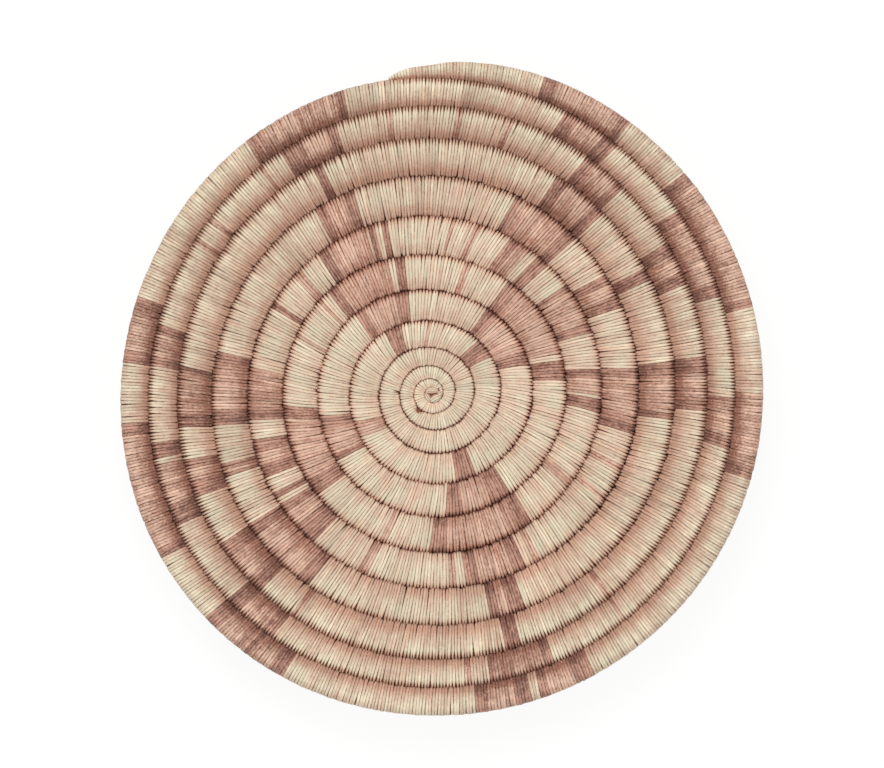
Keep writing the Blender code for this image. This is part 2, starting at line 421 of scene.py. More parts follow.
@dataclass(frozen=True)
class Coil:
    """The course of the coil, as the solids have it."""

    knot_radius: float = 2.4 * MM
    full_pitch: float = 17.4 * MM
    height: float = 12.1 * MM
    row_gap: float = 0.45 * MM
    pitches: Table = (
        (0.0, 2.8 * MM), (1.0, 4.4 * MM), (2.0, 7.1 * MM), (3.0, 9.8 * MM), (4.0, 14.0 * MM),
        (5.0, 15.0 * MM), (6.0, 16.5 * MM), (7.0, 17.4 * MM), (8.0, 18.4 * MM),
        (9.0, 18.7 * MM), (10.0, 15.6 * MM), (11.0, 13.6 * MM), (12.5, 13.9 * MM),
    )
    swells: tuple[Swell, ...] = (
        Swell(1, 0.8 * MM, -168.0, 1.6, 1.0), Swell(1, 0.8 * MM, -96.0, 5.5, 2.2),
        Swell(2, 0.8 * MM, -11.0, 5.5, 2.2), Swell(3, 0.5 * MM, 21.0, 5.5, 2.2),
        Swell(1, 1.6 * MM, 39.0, 11.5, 4.0), Swell(2, 1.3 * MM, 80.0, 11.5, 4.0),
        Swell(3, 0.8 * MM, -23.0, 11.5, 4.0),
    )
    sewing_starts: float = 1.0
    bundle_ends: float = 11.2
    coil_ends: float = 11.272
    flat_radius: float = 80.0 * MM
    bend_radius: float = 72.0 * MM
    rim_slope: float = math.radians(30.0)
    # How far the leaning coil is lifted, so that it rests on the line of the dish
    rest_share: float = 0.55
    flat_overhang: float = 0.10
    lean_overhang: float = 0.30
    # How much of the coil's width is left towards its end
    end_shares: Table = (
        (11.10, 1.0), (11.15, 0.92), (11.18, 0.87), (11.20, 0.81), (11.22, 0.73), (11.24, 0.61),
        (11.25, 0.46), (11.262, 0.36), (11.269, 0.20), (11.272, 0.08),
    )

    @property
    def half_width(self) -> float:
        """Half the width of the full coil."""
        return (self.full_pitch - self.row_gap) / 2.0

    @property
    def half_height(self) -> float:
        """Half the height of the full coil."""
        return self.height / 2.0

    def rows_before(self, turn: float) -> float:
        """Add up the rows from the knot out to a turn.

        Args:
            turn: The turn.

        Returns:
            Their width along the dish.
        """
        width = 0.0
        for (start, first), (end, last) in zip(self.pitches, self.pitches[1:]):
            share = min(max((turn - start) / (end - start), 0.0), 1.0)
            width += (end - start) * share * (first + (last - first) * share / 2.0)
        return width

    def furrow(self, turn: float) -> float:
        """Find the coil's inner edge.

        Args:
            turn: The turn.

        Returns:
            The edge's distance along the dish from the centre.
        """
        angle = math.tau * turn
        swollen = sum(
            swell.size * math.cos(swell.count * (angle - math.radians(swell.degrees)))
            * math.exp(-(((turn - swell.middle) / swell.reach) ** 2))
            for swell in self.swells
        )
        return self.knot_radius + self.rows_before(turn) + swollen

    def dish(self, distance: float) -> tuple[float, float, float]:
        """Find a spot on the dish: a flat middle, a bend and a straight rim.

        Args:
            distance: How far the spot is from the centre, along the dish.

        Returns:
            Its radius, its height and the slope there.
        """
        if distance <= self.flat_radius:
            return distance, 0.0, 0.0
        slope = min((distance - self.flat_radius) / self.bend_radius, self.rim_slope)
        straight = max(distance - self.flat_radius - self.bend_radius * self.rim_slope, 0.0)
        radius = self.flat_radius + self.bend_radius * math.sin(slope)
        height = self.bend_radius * (1.0 - math.cos(slope))
        return (
            radius + straight * math.cos(slope),
            height + straight * math.sin(slope),
            slope,
        )

    def overhang(self, lean: Numbers) -> Numbers:
        """How far the upper half of the coil is pushed outwards, as a share of its height."""
        return self.flat_overhang + self.lean_overhang * np.sin(lean)

    def place(self, turn: float) -> Place:
        """Find the coil's middle line.

        Args:
            turn: The turn.

        Returns:
            The point of the line there, with the coil's size and lean.
        """
        kept = float(read(self.end_shares, turn))
        inner = self.furrow(turn) + self.row_gap / 2.0
        half_width = (self.furrow(turn + 1.0) - self.furrow(turn) - self.row_gap) / 2.0
        half_height = half_width * self.half_height / self.half_width
        radius, height, slope = self.dish(inner + half_width * kept)
        lift = half_height * math.cos(slope) + self.rest_share * half_width * math.sin(slope)
        scale = half_width * kept / self.half_width
        angle = math.tau * turn
        return Place(
            radius * math.cos(angle), radius * math.sin(angle), height + lift, scale, slope
        )


@dataclass
class Guide:
    """The coil's middle line as a curve that straight pieces are bent along."""

    coil: Coil
    steps_per_turn: int = 180
    run_out: float = 0.03
    turns: np.ndarray = field(init=False)
    lengths: np.ndarray = field(init=False)
    scales: np.ndarray = field(init=False)
    leans: np.ndarray = field(init=False)
    line: bpy.types.Object = field(init=False)

    def __post_init__(self) -> None:
        """Lay the line and measure it."""
        last = self.coil.coil_ends + self.run_out
        self.turns = np.arange(0.0, last, 1.0 / self.steps_per_turn)
        places = [self.coil.place(turn) for turn in self.turns]
        points = np.array([place[:3] for place in places])
        steps = np.linalg.norm(np.diff(points, axis=0), axis=1)
        self.lengths = np.concatenate([[0.0], np.cumsum(steps)])
        self.scales = np.array([place.scale for place in places])
        self.leans = np.array([place.lean for place in places])
        self.line = draw_line("coil_guide", points, "3D")
        self.line.data.twist_mode = "Z_UP"
        self.line.data.use_radius = True
        for corner, place in zip(self.line.data.splines[0].points, places):
            corner.radius = place.scale
            corner.tilt = -place.lean

    def distance(self, turn: float) -> float:
        """How far along the coil a turn lies."""
        return float(np.interp(turn, self.turns, self.lengths))

    def turn(self, distance: float) -> float:
        """The turn at a distance along the coil."""
        return float(np.interp(distance, self.lengths, self.turns))


@dataclass(frozen=True)
class Pattern:
    """Which splint each stitch is sewn with."""

    rows: dict[int, tuple[Block, ...]] = field(default_factory=lambda: PATTERN)

    def splint(self, turn: float) -> Splint:
        """Choose the splint of a stitch.

        Args:
            turn: Where the stitch is.

        Returns:
            The splint that the pattern has there.
        """
        row = math.floor(turn)
        degrees = (turn - row) * 360.0
        for block in self.rows.get(row, ()):
            if block.start <= degrees < block.end:
                if degrees < block.start + block.first_edge:
                    return Splint.DARK
                if degrees >= block.end - block.last_edge:
                    return Splint.DARK
                return Splint.BROWN
        return Splint.NATURAL


@dataclass(frozen=True)
class SplintFinish:
    """Split yucca leaf, dry: long fibres side by side, with a dull sheen.

    The face that looks out of the tray is paler and the flanks in the furrows
    keep the deeper colour: partly real bleaching and wear, and partly painted
    light and shade, as it follows each spot's normal. The flanks of the outer
    rows carry painted shade. The edges of a strip are darkest, with the painted
    shade of the gaps between stitches. A strip is 46 mm long and 1.6 mm wide. Its
    fibres are 0.1 mm wide in the leaf, and are drawn as streaks of 0.4 mm by 8 mm
    so that they show. Its blotches are 0.8 mm by 1.8 mm, and wide patches of 7 mm
    go over several strips.
    """

    name: str
    # The colour on top is partly bleached leaf and partly a painted highlight; the flank colour,
    # kept, is partly painted warm shade
    worn_and_lit: str
    kept: str
    painted_shade_colour: str
    # The colour of the painted shade in the gaps between stitches, at the strip's edges and at its
    # feet
    edge: str
    roughness: float
    mottle: float
    contrast: float
    patches: float
    fibres: Grain = Grain(6.0, 3.6, 4.5, 0.78)
    fibre_relief: float = 0.15 * MM
    fibre_strength: float = 0.4
    fibre_span: tuple[float, float] = (0.25, 0.75)
    blotches: Grain = Grain(26.0, 2.0, 4.0, 0.75)
    blotch_span: tuple[float, float] = (0.3, 0.7)
    patch_size: float = 7.0 * MM
    patch_detail: float = 2.0
    patch_roughness: float = 0.55
    # How far apart in the pattern the strands are taken from
    strand_spread: float = 90.0
    crest_span: tuple[float, float] = (0.62, 1.0)
    turned_span: tuple[float, float] = (-0.3, 0.3)
    back_fade: float = 0.6
    # The painted shade of the gaps at the strip's edges, by the distance from its middle, and how
    # blotches break it
    painted_gap_shade: Table = ((0.33, 0.0), (0.38, 0.4), (0.42, 1.0), (0.46, 1.0))
    rim_breaks: tuple[float, float, float, float] = (0.4, 0.6, 1.0, 0.45)
    # Painted shade at the two feet, where they go down between the stitches of the row inside
    painted_foot_shade: Table = ((0.0, 0.8), (0.03, 0.0), (0.97, 0.0), (1.0, 0.8))
    ior: float = 1.45
    specular: float = 0.3

    def material(self) -> bpy.types.Material:
        """Make the finish, on the strip's own UV map: U along the strip, V across it.

        Returns:
            The material.
        """
        made, tree, shader = new_material(self.name)
        uv = add_node(tree, "UVMap", uv_map="UVMap")
        parts = add_node(tree, "SeparateXYZ", (uv,))
        along, across = parts.outputs["X"], parts.outputs["Y"]
        tone, fade, painted_shade, bare_and_lit, strand = (
            add_node(tree, "Attribute", attribute_name=name).outputs["Fac"]
            for name in ("tone", "fade", "painted_shade", "bare_and_lit", "strand")
        )

        # Fibres and blotches lie on the strip, with another part of the pattern for each strand
        part = add_node(tree, "Math", (strand, self.strand_spread), operation="MULTIPLY")
        spot = add_node(tree, "CombineXYZ", (along, across, part))
        marks = []
        for grain in (self.fibres, self.blotches):
            place = add_node(
                tree, "VectorMath", (spot, (grain.along, grain.across, 1.0)), operation="MULTIPLY"
            )
            looks = {
                "Vector": place, "Scale": 1.0, "Detail": grain.detail, "Roughness": grain.roughness
            }
            marks.append(add_node(tree, "TexNoise", looks))
        fibres, blotches = marks
        contrast = (1.0 - self.contrast, 1.0 + self.contrast)
        streak = add_node(tree, "MapRange", (fibres, *self.fibre_span, *contrast))
        mottle = (-self.mottle, self.mottle)
        patchy = add_node(tree, "MapRange", (blotches, *self.blotch_span, *mottle))

        # Wide patches, several stitches across, which light has bleached more or less
        looks = {
            "Vector": add_node(tree, "TexCoord").outputs["Object"],
            "Scale": 1.0 / self.patch_size,
            "Detail": self.patch_detail,
            "Roughness": self.patch_roughness,
        }
        shared = add_node(tree, "TexNoise", looks)
        strength = (1.0 - self.patches, 1.0 + self.patches)
        spread = add_node(tree, "MapRange", (shared, *self.blotch_span, *strength))
        faded = add_node(tree, "Math", (spread, fade), operation="MULTIPLY")

        # How far a spot looks out of the tray, or out of its back, by its own normal: the pale top
        # that this gives is partly real bleaching and partly a painted highlight, and the flanks
        # get painted shade
        normal = add_node(tree, "NewGeometry").outputs["Normal"]
        facing = add_node(tree, "SeparateXYZ", (normal,)).outputs["Z"]
        either = add_node(tree, "Math", (facing,), operation="ABSOLUTE")
        crest = add_node(tree, "MapRange", (either, *self.crest_span))
        side = add_node(tree, "MapRange", (facing, *self.turned_span, self.back_fade, 1.0))
        looked_at = add_node(tree, "Math", (crest, side), operation="MULTIPLY")
        bared_and_lit = add_node(tree, "Math", (looked_at, bare_and_lit), operation="MAXIMUM")
        bleached_and_lit = add_node(
            tree, "Math", (bared_and_lit, faded, patchy), operation="MULTIPLY_ADD", use_clamp=True
        )
        kept = {MIX_BY: painted_shade, MIX_FROM: linear(self.kept), MIX_TO: linear(self.painted_shade_colour)}
        flank = add_node(tree, "Mix", kept, data_type="RGBA")
        both = {MIX_BY: bleached_and_lit, MIX_FROM: flank.outputs[MIXED], MIX_TO: linear(self.worn_and_lit)}
        ground = add_node(tree, "Mix", both, data_type="RGBA")
        toned = add_node(tree, "Math", (streak, tone), operation="MULTIPLY")
        scaled = {0: ground.outputs[MIXED], "Scale": toned}
        coloured = add_node(tree, "VectorMath", scaled, operation="SCALE")

        # Painted shade of the gaps at the edges of the strip, darker here and there, and at its two
        # feet between other stitches
        middle = add_node(tree, "Math", (across, 0.5), operation="SUBTRACT")
        off_middle = add_node(tree, "Math", (middle,), operation="ABSOLUTE")
        painted_gap_shade = add_node(tree, "ValToRGB", (off_middle,))
        fill_ramp(painted_gap_shade, self.painted_gap_shade)
        broken = add_node(tree, "MapRange", (blotches, *self.rim_breaks))
        rim = add_node(tree, "Math", (painted_gap_shade, broken), operation="MULTIPLY")
        foot = add_node(tree, "ValToRGB", (along,))
        fill_ramp(foot, self.painted_foot_shade)
        shaded = add_node(tree, "Math", (rim, foot), operation="MAXIMUM")
        whole = {MIX_BY: shaded, MIX_FROM: coloured, MIX_TO: linear(self.edge)}
        edged = add_node(tree, "Mix", whole, data_type="RGBA")
        tree.links.new(edged.outputs[MIXED], shader.inputs["Base Color"])
        relief = {
            "Height": fibres, "Strength": self.fibre_strength, "Distance": self.fibre_relief
        }
        bump = add_node(tree, "Bump", relief)
        tree.links.new(bump.outputs["Normal"], shader.inputs["Normal"])
        shader.inputs["Roughness"].default_value = self.roughness
        shader.inputs["IOR"].default_value = self.ior
        shader.inputs["Specular IOR Level"].default_value = self.specular
        return made


@dataclass(frozen=True)
class GrassFinish:
    """Dry grass stems laid side by side: dull straw that shows dark between the stitches."""

    name: str = "dry grass stems"
    # Both colours are darker and redder than straw, which is partly painted shade, as the grass
    # shows only in the gaps between the stitches
    pale: str = "#B0765E"
    dark: str = "#643625"
    stem_gap: float = 0.9 * MM
    detail: float = 4.0
    relief: float = 0.3 * MM
    strength: float = 0.5
    roughness: float = 0.85
    specular: float = 0.2

    def material(self) -> bpy.types.Material:
        """Make the finish, on Object coordinates.

        Returns:
            The material.
        """
        made, tree, shader = new_material(self.name)
        looks = {
            "Vector": add_node(tree, "TexCoord").outputs["Object"],
            "Scale": 1.0 / (2.0 * self.stem_gap),
            "Detail": self.detail,
        }
        stems = add_node(tree, "TexNoise", looks)
        both = {MIX_BY: stems, MIX_FROM: linear(self.dark), MIX_TO: linear(self.pale)}
        colour = add_node(tree, "Mix", both, data_type="RGBA")
        tree.links.new(colour.outputs[MIXED], shader.inputs["Base Color"])
        relief = {"Height": stems, "Strength": self.strength, "Distance": self.relief}
        bump = add_node(tree, "Bump", relief)
        tree.links.new(bump.outputs["Normal"], shader.inputs["Normal"])
        shader.inputs["Roughness"].default_value = self.roughness
        shader.inputs["Specular IOR Level"].default_value = self.specular
        return made


@dataclass
class Stitch:
    """One stitch: a strip of leaf bent over the coil from its front foot to its back foot.

    The outline of the coil is given in shares of its half width and half height.
    The two feet leave it on the inner side and reach down into the row inside.
    """

    coil: Coil
    pitch: float = 1.44 * MM
    fill: float = 1.08
    crown: float = 0.24 * MM
    roundness: float = 2.35
    foot_in: tuple[float, float] = (-1.15, 0.30)
    foot_out: tuple[float, float] = (-1.07, 0.46)
    leaves_coil_at: float = -0.79
    arc_points: int = 40
    rows_across: int = 4
    widths: Table = (
        (0.0, 0.84), (0.024, 0.90), (0.055, 0.97), (0.087, 1.0), (0.121, 1.0), (0.160, 1.0),
        (0.208, 1.0), (0.260, 1.0), (0.310, 1.0), (0.345, 1.0), (0.372, 1.0), (0.398, 1.0),
        (0.426, 1.0), (0.465, 0.98), (0.53, 0.94), (0.61, 0.97), (0.74, 1.0), (0.88, 0.90),
        (1.0, 0.62),
    )

    def outline(self) -> list[tuple[float, float]]:
        """Draw the strip's course round the coil, cut across.

        Returns:
            The points of the course: across and up, in metres.
        """
        power = 2.0 / self.roundness
        first = math.acos(-(abs(self.leaves_coil_at) ** (1.0 / power)))
        points = [self.foot_in, self.foot_out]
        for number in range(self.arc_points + 1):
            angle = first - 2.0 * first * number / self.arc_points
            circle = (math.cos(angle), math.sin(angle))
            points.append(tuple(math.copysign(abs(part) ** power, part) for part in circle))
        points += [(self.foot_out[0], -self.foot_out[1]), (self.foot_in[0], -self.foot_in[1])]
        return [(a * self.coil.half_width, u * self.coil.half_height) for a, u in points]

    def model(self) -> bpy.types.Object:
        """Model the strip straight, shape it, and bend it over the coil's outline.

        Returns:
            The stitch with its middle at X = 0, X along the coil, -Y outwards and Z up.
        """
        points = self.outline()
        length = sum(math.dist(a, b) for a, b in zip(points, points[1:]))
        line = draw_line("section_guide", [(*point, 0.0) for point in points], "2D")
        last = len(self.widths) - 1
        bpy.ops.object.select_all(action="DESELECT")
        bpy.ops.mesh.primitive_grid_add(
            x_subdivisions=last, y_subdivisions=self.rows_across, size=1.0, location=(0.5, 0, 0)
        )
        strip = bpy.context.object
        strip.name = "one_stitch"
        bpy.ops.object.transform_apply(location=True, rotation=False, scale=False)
        for corner in strip.data.uv_layers.active.data:
            corner.uv.x = self.widths[round(corner.uv.x * last)][0]
        for vertex in strip.data.vertices:
            along, width = self.widths[round(vertex.co.x * last)]
            edge = abs(vertex.co.y) / 0.5
            vertex.co.x = along * length
            vertex.co.y *= self.pitch * self.fill * width
            vertex.co.z = -self.crown * edge * edge * width

        # Flat on the table the crown points up; on the outline it points out of the coil
        strip.rotation_euler = (-math.pi / 2.0, 0.0, 0.0)
        bpy.ops.object.transform_apply(location=False, rotation=True, scale=False)
        bend_along(strip, line)
        discard(line)

        # Bent, it lies across X and up Y; turned, across -Y and up Z, with its width along X
        strip.matrix_world = Matrix(((0, 0, -1, 0), (-1, 0, 0, 0), (0, 1, 0, 0), (0, 0, 0, 1)))
        select_only(strip)
        bpy.ops.object.transform_apply(location=False, rotation=True, scale=True)
        return strip


@dataclass(frozen=True)
class Hand:
    """How far one stitch differs from the next, as hand work does.

    A stray is the spread of a random difference, and a drift goes slowly round
    the tray. Slants are in degrees, reaches in metres, and the strays of the foot
    and the slide in shares of the pitch.
    """

    widths: tuple[float, float] = (0.96, 1.05)
    waver: float = 0.04
    waver_turns: float = 2.6
    slant_drift: float = 1.1
    slant_stray: float = 0.9
    foot_stray: float = 0.07
    reach_drift: float = 0.10 * MM
    reach_stray: float = 0.28 * MM
    swell_stray: float = 0.012
    slide_stray: float = 0.035
    leaf_tone: float = 0.035
    tone_stray: float = 0.055
    leaf_fade: float = 0.10
    fade_stray: float = 0.10
    dyed_unevenness: float = 1.8
    drift_beats: tuple[float, ...] = (0.73, 1.31, 1.9, 2.7, 4.3, 6.1)


@dataclass
class Sewing:
    """All the sewing of the tray, run by run.

    Pitches are in metres, slants in degrees. A zone of a stitch is a pair: where it
    starts, as a share of the coil's half width or height, and how far it takes to
    be reached in full.
    """

    coil: Coil
    guide: Guide
    stitch: Stitch
    pattern: Pattern
    finishes: dict[Splint, bpy.types.Material]
    hand: Hand = Hand()
    seed: int = 11
    colour_seed: int = 77
    # One leaf gives the splints of so many stitches in a row
    leaf_stitches: tuple[int, int] = (5, 18)
    pitches: Table = (
        (0.0, 1.02 * MM), (1.0, 1.14 * MM), (2.0, 1.27 * MM), (3.0, 1.37 * MM),
        (4.5, 1.43 * MM), (12.0, 1.45 * MM),
    )
    slants: Table = (
        (0.0, 0.0), (2.0, 1.0), (3.0, 6.0), (3.6, 9.0), (4.5, 4.5), (5.5, 5.0), (6.5, 5.5),
        (7.5, 2.0), (8.5, 0.7), (9.5, 3.0), (10.5, 3.5), (11.3, 2.0),
    )
    fading: Table = ((0.0, 0.88), (4.5, 0.84), (6.5, 0.78), (11.3, 0.92))
    # Painted shade on the flanks of the outer rows: how far their colour goes towards the shade
    # colour
    painted_shade_by_turn: Table = ((0.0, 0.0), (5.5, 0.05), (9.0, 0.62), (11.3, 0.72))
    # What a strip gains in width at its foot, and what it loses down its outer flank
    foot_widening: Table = ((0.0, 0.5), (2.0, 0.4), (5.0, 0.1), (7.0, 0.0))
    narrowing: Table = ((0.0, 0.62), (2.5, 0.56), (4.5, 0.42), (11.3, 0.40))
    # How much painted light brightens the outer side of a row on the slope, against its shade, and
    # how worn the outer side of the last row is, which no other row covers: from this turn on, and
    # over so many turns
    outer_painted_light: Table = ((5.0, 0.0), (8.0, 0.35), (10.25, 0.5))
    open_wear: float = 0.75
    lies_open: tuple[float, float] = (10.25, 0.03)
    sunk_zone: tuple[float, float] = (-0.82, 0.26)
    foot_zone: tuple[float, float] = (0.55, 0.5)
    tip_zone: tuple[float, float] = (0.85, 0.2)
    outer_zone: tuple[float, float] = (0.25, 0.5)
    upper_zone: tuple[float, float] = (0.0, 0.5)
    openings: tuple[Opening, ...] = (
        Opening(1.637, 2.3 * MM, 1.3 * MM), Opening(9.391, 4.0 * MM, 0.8 * MM),
        Opening(2.49, 1.2 * MM, 0.7 * MM), Opening(8.957, 2.2 * MM, 0.7 * MM),
    )
    marks: np.ndarray = field(init=False)
    turns: np.ndarray = field(init=False)
    model: bpy.types.Object = field(init=False)
    leaf_tones: np.ndarray = field(init=False)
    leaf_fades: np.ndarray = field(init=False)
    drifts: np.ndarray = field(init=False)

    def __post_init__(self) -> None:
        """Model the one stitch, space the stitches out and deal out the leaves."""
        self.model = self.stitch.model()
        marks = [0.0]
        while marks[-1] < self.guide.lengths[-1]:
            marks.append(marks[-1] + float(read(self.pitches, self.guide.turn(marks[-1]))))
        self.marks = np.array(marks)
        self.turns = np.array([self.guide.turn(mark) for mark in marks])
        count = len(marks)
        random = np.random.default_rng(self.seed)
        self.leaf_tones, self.leaf_fades = np.empty(count), np.empty(count)
        at = 0
        while at < count:
            leaf = slice(at, at + int(random.integers(*self.leaf_stitches)))
            self.leaf_tones[leaf], self.leaf_fades[leaf] = random.normal(0.0, 1.0, 2)
            at = leaf.stop
        phases = random.uniform(0.0, math.tau, len(self.hand.drift_beats))
        self.drifts = sum(
            np.sin(self.turns * math.tau * beat + phase)
            for beat, phase in zip(self.hand.drift_beats, phases)
        )

    def run(self, name: str, start: float, end: float) -> bpy.types.Object:
        """Sew one run.

        Args:
            name: The name of the finished piece.
            start: The turn where the run starts.
            end: The turn where it ends.

        Returns:
            The finished run of stitches, bent along the coil.
        """
        numbers = np.flatnonzero((self.turns >= start) & (self.turns < end))
        piece = bpy.data.objects.new(name, self.model.data.copy())
        piece.data.name = name
        bpy.context.scene.collection.objects.link(piece)
        repeat(piece, len(numbers), self.stitch.pitch)
        self.loosen(piece.data, numbers)
        self.colour(piece.data, numbers)
        bend_along(piece, self.guide.line)
        smooth(piece)
        return piece

    def loosen(self, mesh: bpy.types.Mesh, numbers: np.ndarray) -> None:
        """Make each stitch of a straight row a little different, as by hand.

        Args:
            mesh: The row of equal stitches.
            numbers: The number that each of them has on the coil.
        """
        hand, pitch, count = self.hand, self.stitch.pitch, len(numbers)
        half_width, half_height = self.coil.half_width, self.coil.half_height
        random = np.random.default_rng(self.seed + int(numbers[0]))
        points = np.empty(len(mesh.vertices) * 3)
        mesh.vertices.foreach_get("co", points)
        points = points.reshape(count, -1, 3)
        along = points[:, :, 0] - (np.arange(count) * pitch)[:, None]
        outwards = -points[:, :, 1]
        up = points[:, :, 2]
        turns, drifts = self.turns[numbers], self.drifts[numbers]

        # Each strip has its own width, and swells and narrows along its length
        local = read(self.pitches, turns) / pitch
        along = along * (local * random.uniform(*hand.widths, count))[:, None]
        around = np.arctan2(up, -outwards)
        phase = random.uniform(0.0, math.tau, (count, 1))
        along = along * (1.0 + hand.waver * np.sin(around * hand.waver_turns + phase))

        # It narrows on its way down its outer flank, so that the furrow has teeth
        closed = 1.0 - rise(turns, *self.lies_open)
        sunk = rise(-up / half_height, *self.sunk_zone)
        beside = (outwards > 0.0) & (up > 0.0)
        narrowed = (read(self.narrowing, turns) * closed)[:, None]
        along = along * (1.0 - narrowed * sunk * beside)

        # Its foot is wider in the small rows
        foot = rise(-outwards / half_width, *self.foot_zone)
        along = along * (1.0 + foot * read(self.foot_widening, turns)[:, None])

        # It slants, and its foot strays
        strays = drifts * hand.slant_drift + random.normal(0.0, hand.slant_stray, count)
        slant = np.radians(read(self.slants, turns)) + np.radians(strays)
        scale = np.interp(turns, self.guide.turns, self.guide.scales)
        along = along - outwards * (np.tan(slant) * scale)[:, None]
        along = along + foot * random.normal(0.0, hand.foot_stray, (count, 1)) * pitch
        short = random.normal(0.0, hand.reach_stray, count) + drifts * hand.reach_drift
        for opening in self.openings:
            off = (self.marks[numbers] - self.guide.distance(opening.turn)) / opening.reach
            short = short - np.exp(-off * off) * opening.short / scale
        outwards = outwards - foot * short[:, None]

        # The gap to the row inside is the same everywhere, so small rows have longer feet
        tip = rise(-outwards / half_width, *self.tip_zone)
        further = self.coil.row_gap * np.maximum(1.0 / scale - 1.0, 0.0)
        outwards = outwards - tip * further[:, None]
        overhang = self.coil.overhang(np.interp(turns, self.guide.turns, self.guide.leans))
        outwards = outwards + overhang[:, None] * np.maximum(up, 0.0)
        swell = 1.0 + random.normal(0.0, hand.swell_stray, (count, 1))
        slide = random.normal(0.0, hand.slide_stray, (count, 1)) * pitch
        points[:, :, 0] = along + self.marks[numbers][:, None] + slide
        points[:, :, 1] = -outwards * swell
        points[:, :, 2] = up * swell
        mesh.vertices.foreach_set("co", points.ravel())
        mesh.update()

    def colour(self, mesh: bpy.types.Mesh, numbers: np.ndarray) -> None:
        """Give each stitch its splint, its tone, its fading and a number for its fibres.

        Args:
            mesh: The straight row of stitches.
            numbers: The number that each of them has on the coil.
        """
        hand, count = self.hand, len(numbers)
        corners, faces = len(mesh.vertices) // count, len(mesh.polygons) // count
        random = np.random.default_rng(self.colour_seed + int(numbers[0]))
        turns = self.turns[numbers]
        splints = [self.pattern.splint(turn) for turn in turns]
        uneven = np.array(
            [1.0 if splint is Splint.NATURAL else hand.dyed_unevenness for splint in splints]
        )
        tone = 1.0 + hand.leaf_tone * self.leaf_tones[numbers]
        tone = tone + random.normal(0.0, hand.tone_stray, count)
        fade = read(self.fading, turns) + hand.leaf_fade * self.leaf_fades[numbers]
        fade = fade + random.normal(0.0, hand.fade_stray, count) * uneven
        painted_shade = read(self.painted_shade_by_turn, turns)
        strand = random.uniform(0.0, 1.0, count)
        for name, each in zip(("tone", "fade", "painted_shade", "strand"), (tone, fade, painted_shade, strand)):
            add_values(mesh, name, np.repeat(each, corners))

        # The outer side of a row on the slope gets painted light against its shade, and that of the
        # last row lies open and is worn
        points = np.empty(len(mesh.vertices) * 3)
        mesh.vertices.foreach_get("co", points)
        outer = rise(-points[1::3] / self.coil.half_width, *self.outer_zone)
        upper = rise(points[2::3] / self.coil.half_height, *self.upper_zone)
        last = np.repeat(rise(turns, *self.lies_open), corners)
        worn_and_lit = np.repeat(read(self.outer_painted_light, turns), corners)
        add_values(mesh, "bare_and_lit", outer * np.maximum(worn_and_lit * upper, self.open_wear * last))
        used = [splint for splint in Splint if splint in splints]
        mesh.materials.clear()
        for splint in used:
            mesh.materials.append(self.finishes[splint])
        indices = np.repeat([used.index(splint) for splint in splints], faces)
        mesh.polygons.foreach_set("material_index", indices.astype(np.int32))


@dataclass
class Bundle:
    """The foundation of the coil: a bundle of grass stems, ribbed along its length."""

    coil: Coil
    guide: Guide
    finish: bpy.types.Material
    stems: int = 18
    inset: float = 0.45 * MM
    overlap: float = 0.9 * MM
    step: float = 4.0 * MM
    rib: float = 0.06
    inner_rib: float = 0.99
    weld: float = 0.01 * MM

    def length(self, name: str, start: float, end: float) -> bpy.types.Object:
        """Model a length of the bundle.

        Args:
            name: The name of the finished piece.
            start: The turn where the length starts.
            end: The turn where it ends.

        Returns:
            The length, closed at both ends and bent along the coil.
        """
        from_x, to_x = self.guide.distance(start), self.guide.distance(end)
        count = max(2, round((to_x - from_x) / self.step))
        step = (to_x - from_x) / count
        bpy.ops.object.select_all(action="DESELECT")
        bpy.ops.mesh.primitive_cylinder_add(
            vertices=self.stems * 2,
            radius=1.0,
            depth=step,
            end_fill_type="NOTHING",
            rotation=(0.0, math.pi / 2.0, 0.0),
        )
        piece = bpy.context.object
        piece.name = piece.data.name = name
        bpy.ops.object.transform_apply(location=False, rotation=True, scale=False)
        for vertex in piece.data.vertices:
            angle = math.atan2(vertex.co.z, vertex.co.y)
            reach = 1.0 - self.rib * (round(angle / math.pi * self.stems) % 2)
            vertex.co.y *= reach
            vertex.co.z *= reach * (self.coil.half_height - self.inset)
        repeat(piece, count, step, self.weld)

        # Its innermost rib reaches over the gap, so that no light comes between two rows
        for vertex in piece.data.vertices:
            vertex.co.x += from_x + step / 2.0
            place = self.coil.place(self.guide.turn(vertex.co.x))
            side = -self.inset
            if vertex.co.y > self.inner_rib:
                side = self.coil.row_gap / place.scale + self.overlap
            vertex.co.y *= self.coil.half_width + side
            vertex.co.y -= self.coil.overhang(place.lean) * max(vertex.co.z, 0.0)
        for end_x in (from_x, to_x):
            self.close_end(piece, end_x)
        bend_along(piece, self.guide.line)
        piece.data.materials.clear()
        piece.data.materials.append(self.finish)
        smooth(piece)
        return piece

    def close_end(self, piece: bpy.types.Object, end_x: float) -> None:
        """Close one open end of a straight length of the bundle.

        Args:
            piece: The length of the bundle, as the active object.
            end_x: Where the end is along X.
        """
        bpy.ops.object.mode_set(mode="EDIT")
        bpy.ops.mesh.select_mode(type="VERT")
        bpy.ops.mesh.select_all(action="DESELECT")
        bpy.ops.object.mode_set(mode="OBJECT")
        for vertex in piece.data.vertices:
            vertex.select = abs(vertex.co.x - end_x) < self.step / 4.0
        bpy.ops.object.mode_set(mode="EDIT")
        bpy.ops.mesh.edge_face_add()
        bpy.ops.mesh.select_all(action="SELECT")
        bpy.ops.mesh.normals_make_consistent(inside=False)
        bpy.ops.object.mode_set(mode="OBJECT")


